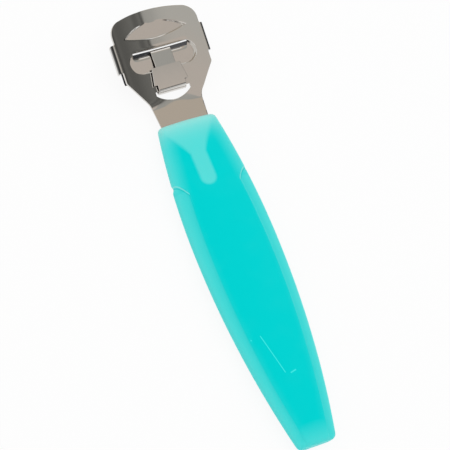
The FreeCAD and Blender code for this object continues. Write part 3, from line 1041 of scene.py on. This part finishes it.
def screens(paint, rightness):
    """A row of dark screens to the right, whose tones change with how far to the right they stand."""
    ramp = paint.node("ShaderNodeValToRGB", {}, {"Fac": rightness / SCREEN_SPAN})
    stops = ramp.color_ramp.elements
    for stop, (place, value) in zip(stops, (SCREEN_TONES[0], SCREEN_TONES[-1])):
        stop.position = place / SCREEN_SPAN
        stop.color = grey(value)
    for place, value in SCREEN_TONES[1:-1]:
        stops.new(place / SCREEN_SPAN).color = grey(value)
    return Flow(paint, ramp.outputs[0])


def mirrored_room(paint, look):
    """What the polished steel mirrors: a warm ceiling, dark screens and white walls low down."""
    direction = paint.out("ShaderNodeTexCoord", output="Generated")
    x, y, z = paint.split(direction)
    high = z.most(LEAST_LEAN)
    rightness = x / high
    farness = y / high
    ceiling = 1 - rightness.step(*CEILING_RIGHT_EDGE)
    far_wall = farness.step(*FAR_WALL_FOOT) * x.stretch(FAR_WALL_LEFT, FAR_WALL_RIGHT)
    corner_wall = (0 - y / x.most(LEAST_LEAN)).step(*CORNER_WALL_SIDE) * x.step(*CORNER_WALL_LEFT)
    near_wall = (0 - y).step(*NEAR_WALL_FOOT) * (1 - x.step(*NEAR_WALL_RIGHT))
    near_wall = near_wall * (1 - z.step(*NEAR_WALL_TOP)) * (1 - (0 - x).step(*NEAR_WALL_LEFT))
    far_rail = y.step(*RAIL_SIDE) * z.stretch(RAIL_LOW, RAIL_HIGH)
    tone = screens(paint, rightness)
    for amount, colour in (
            (ceiling * (0 - farness).step(*BRIGHT_CEILING_EDGE), rgba(look.bright_tone)),
            (ceiling * farness.step(*WARM_CEILING_EDGE), rgba(look.warm_tone)),
            ((0 - x).step(*LEFT_WALL_EDGE), WHITE),
            (far_wall, WHITE),
            (corner_wall * (1 - z.step(*CORNER_WALL_TOP)), WHITE),
            (near_wall, ROOM_DARK),
            (far_rail, ROOM_DARK),
            ((1 - z.step(*HORIZON)) * (1 - far_rail), WHITE)):
        tone = paint.colour_mix(amount, tone, colour)
    return tone


def room(paint, look):
    """White for the camera, the mirrored room for the steel, and a soft even dome of light for all else."""
    rays = paint.node("ShaderNodeLightPath")
    seen = Flow(paint, rays.outputs["Is Camera Ray"])
    glossy = Flow(paint, rays.outputs["Is Glossy Ray"])
    tone = paint.colour_mix(glossy, rgba(look.dome_tone), mirrored_room(paint, look))
    tone = paint.colour_mix(seen, tone, WHITE)
    light = paint.out("ShaderNodeBackground", {}, {"Color": tone, "Strength": 1.0})
    paint.node("ShaderNodeOutputWorld", {}, {"Surface": light})


def floor_paper(look):
    """Pale paper that shows plain white, with its shadows softened, to the camera and in mirrors."""
    material = bpy.data.materials.new("floor paper")
    material.use_nodes = True
    paint = Paint(material.node_tree)
    paper = paint.out("ShaderNodeBsdfDiffuse", {}, {"Color": rgba(look.floor_tone)})
    glow = paint.out("ShaderNodeEmission", {}, {"Color": WHITE, "Strength": 1.0})
    rays = paint.node("ShaderNodeLightPath")
    seen = Flow(paint, rays.outputs["Is Camera Ray"])
    for name in ("Is Glossy Ray", "Is Transmission Ray"):
        seen = seen.most(Flow(paint, rays.outputs[name]))
    mixed = paint.node("ShaderNodeMixShader", {}, {0: seen * look.floor_glow, 1: paper, 2: glow})
    paint.node("ShaderNodeOutputMaterial", {}, {"Surface": Flow(paint, mixed.outputs[0])})
    return material


KEY_PLACE = (0.25, 0.10, 0.95)
PICTURE_WIDTH = 36.0
NEAREST_SEEN = 0.01


class SHAVER_OT_stage(bpy.types.Operator):
    """Set the floor, the room, the lamp and the camera"""
    bl_idname = "shaver.stage"
    bl_label = "Studio"

    def execute(self, context):
        look = context.scene.shaver_studio
        scene = context.scene
        scene.view_settings.view_transform = "Standard"
        deselect_all()
        bpy.ops.mesh.primitive_plane_add(size=look.floor_size, location=(0, 0, 0))
        floor = context.active_object
        floor.name = "floor"
        floor.data.materials.append(floor_paper(look))
        world = bpy.data.worlds.new("room")
        world.use_nodes = True
        scene.world = world
        room(Paint(world.node_tree), look)
        bpy.ops.object.light_add(type="AREA", location=KEY_PLACE)
        lamp = context.active_object
        lamp.name = "key"
        lamp.visible_glossy = False
        lamp.data.size = look.key_size
        lamp.data.energy = look.key_power
        lamp.rotation_euler = lamp.location.to_track_quat("Z", "Y").to_euler()
        turned = (Matrix.Rotation(look.view_roll, 3, "Z") @ Matrix.Rotation(-look.view_lean, 3, "X")
                  @ Matrix.Rotation(look.view_turn, 3, "Y")).transposed()
        sight = turned @ Vector((0, 0, 1))
        place = Vector(look.aim) + sight * look.view_distance
        bpy.ops.object.camera_add()
        camera = context.active_object
        camera.name = "view"
        camera.matrix_world = Matrix.Translation(place) @ turned.to_4x4()
        camera.data.lens = look.lens
        camera.data.sensor_width = PICTURE_WIDTH
        camera.data.sensor_fit = "HORIZONTAL"
        camera.data.clip_start = NEAREST_SEEN
        scene.camera = camera
        return {"FINISHED"}


class SHAVER_PT_panel(bpy.types.Panel):
    """Sizes, colours and steps of the callus shaver"""
    bl_idname = "SHAVER_PT_panel"
    bl_label = "Callus shaver"
    bl_space_type = "VIEW_3D"
    bl_region_type = "UI"
    bl_category = "Shaver"

    def draw(self, context):
        layout = self.layout
        for group in (context.scene.shaver_studio, context.scene.shaver_steel, context.scene.shaver_handle):
            for name in group.__annotations__:
                layout.prop(group, name)
        for step in STEPS:
            layout.operator(step.bl_idname)


STEPS = (SHAVER_OT_stage, SHAVER_OT_plate, SHAVER_OT_clip, SHAVER_OT_blade, SHAVER_OT_handle)
GROUPS = {"shaver_studio": StudioSettings, "shaver_steel": SteelSettings, "shaver_handle": HandleSettings}


def register():
    for kind in (*GROUPS.values(), *STEPS, SHAVER_PT_panel):
        bpy.utils.register_class(kind)
    for name, group in GROUPS.items():
        setattr(bpy.types.Scene, name, bpy.props.PointerProperty(type=group))


def unregister():
    for name in GROUPS:
        delattr(bpy.types.Scene, name)
    for kind in (SHAVER_PT_panel, *reversed(STEPS), *reversed(GROUPS.values())):
        bpy.utils.unregister_class(kind)


def main():
    register()
    bpy.ops.shaver.stage()
    bpy.ops.shaver.plate()
    bpy.ops.shaver.clip()
    bpy.ops.shaver.blade()
    bpy.ops.shaver.handle()


if __name__ == "__main__":
    main()
